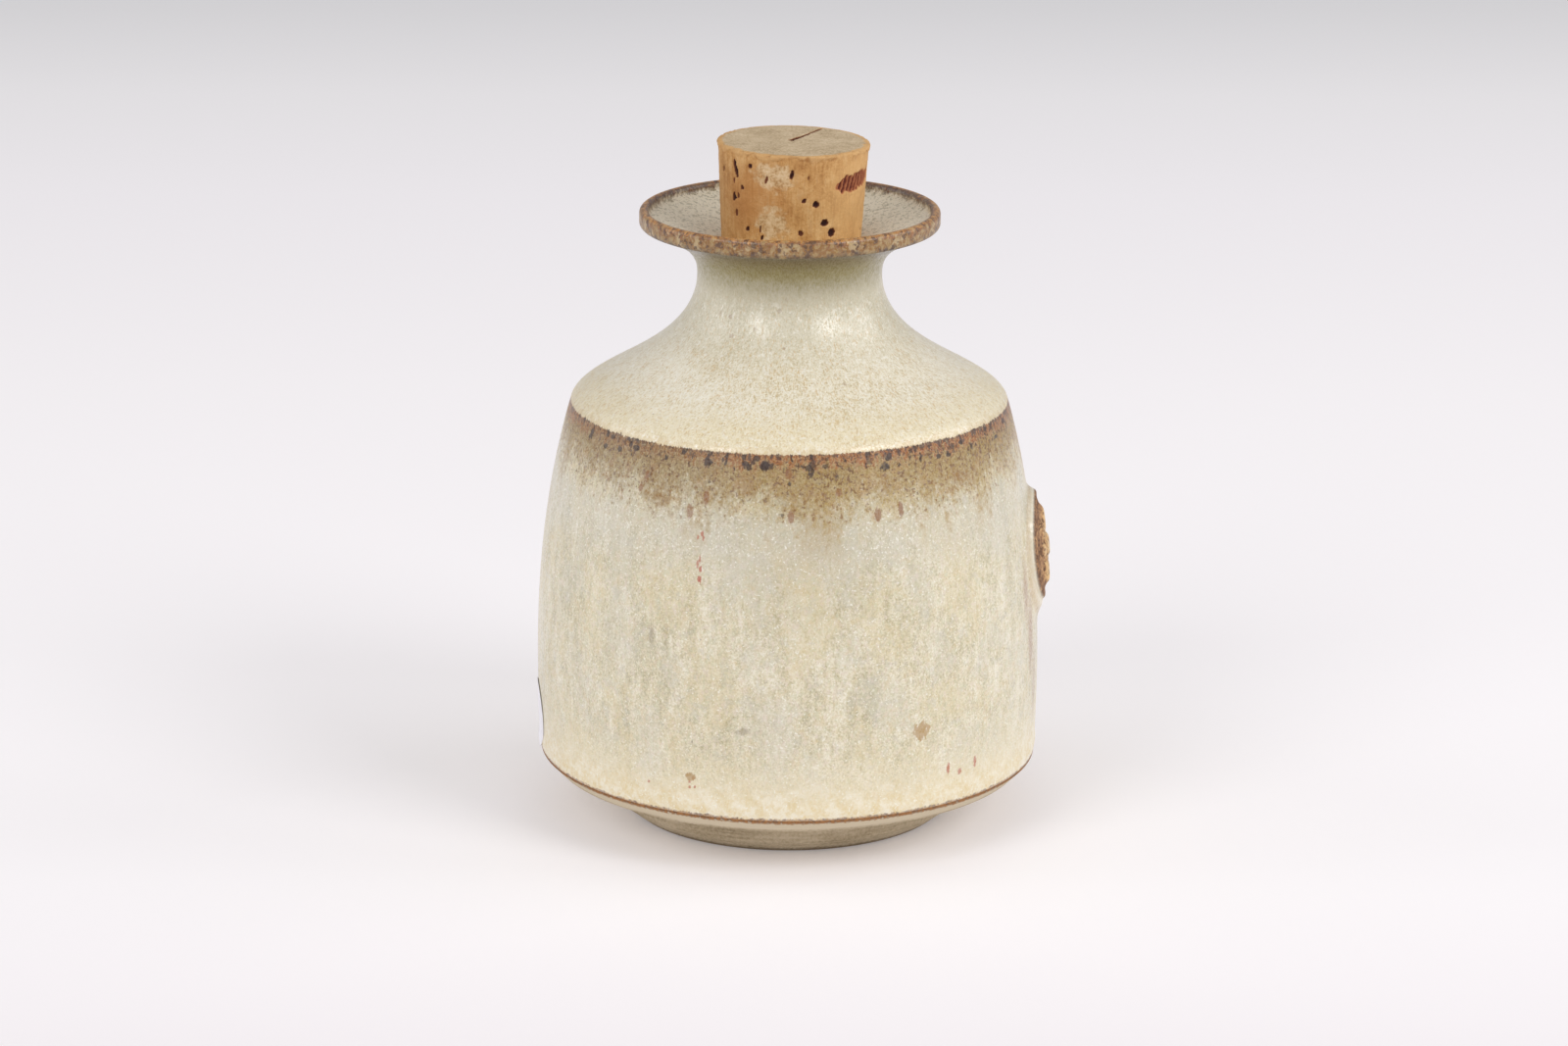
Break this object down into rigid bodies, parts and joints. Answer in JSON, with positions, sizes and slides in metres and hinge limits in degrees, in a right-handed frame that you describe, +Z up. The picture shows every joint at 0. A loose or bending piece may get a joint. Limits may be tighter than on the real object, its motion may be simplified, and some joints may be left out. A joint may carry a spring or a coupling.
{
  "type": "pottery bottle",
  "caption": "Thrown stoneware bottle with a flared, dished mouth, a clay medallion on its side, a tapered cork stopper and a blank round paper sticker.",
  "frame": {"origin": "centre of the foot ring, on the surface that the bottle stands on", "axes": "+Z up the bottle's axis, -Y the front of the picture, +X towards the side with the medallion"},
  "size_m": [0.0963, 0.0936, 0.127],
  "materials": {
    "glazed_stoneware": "satin cream glaze with rust speckle, bare clay foot",
    "cork": "cut natural cork, matte",
    "paper": "smooth white paper"
  },
  "bodies": {
    "root": {"bottle": "glazed_stoneware", "cork_stopper": "cork", "price_dot": "paper"}
  },
  "joints": []
}
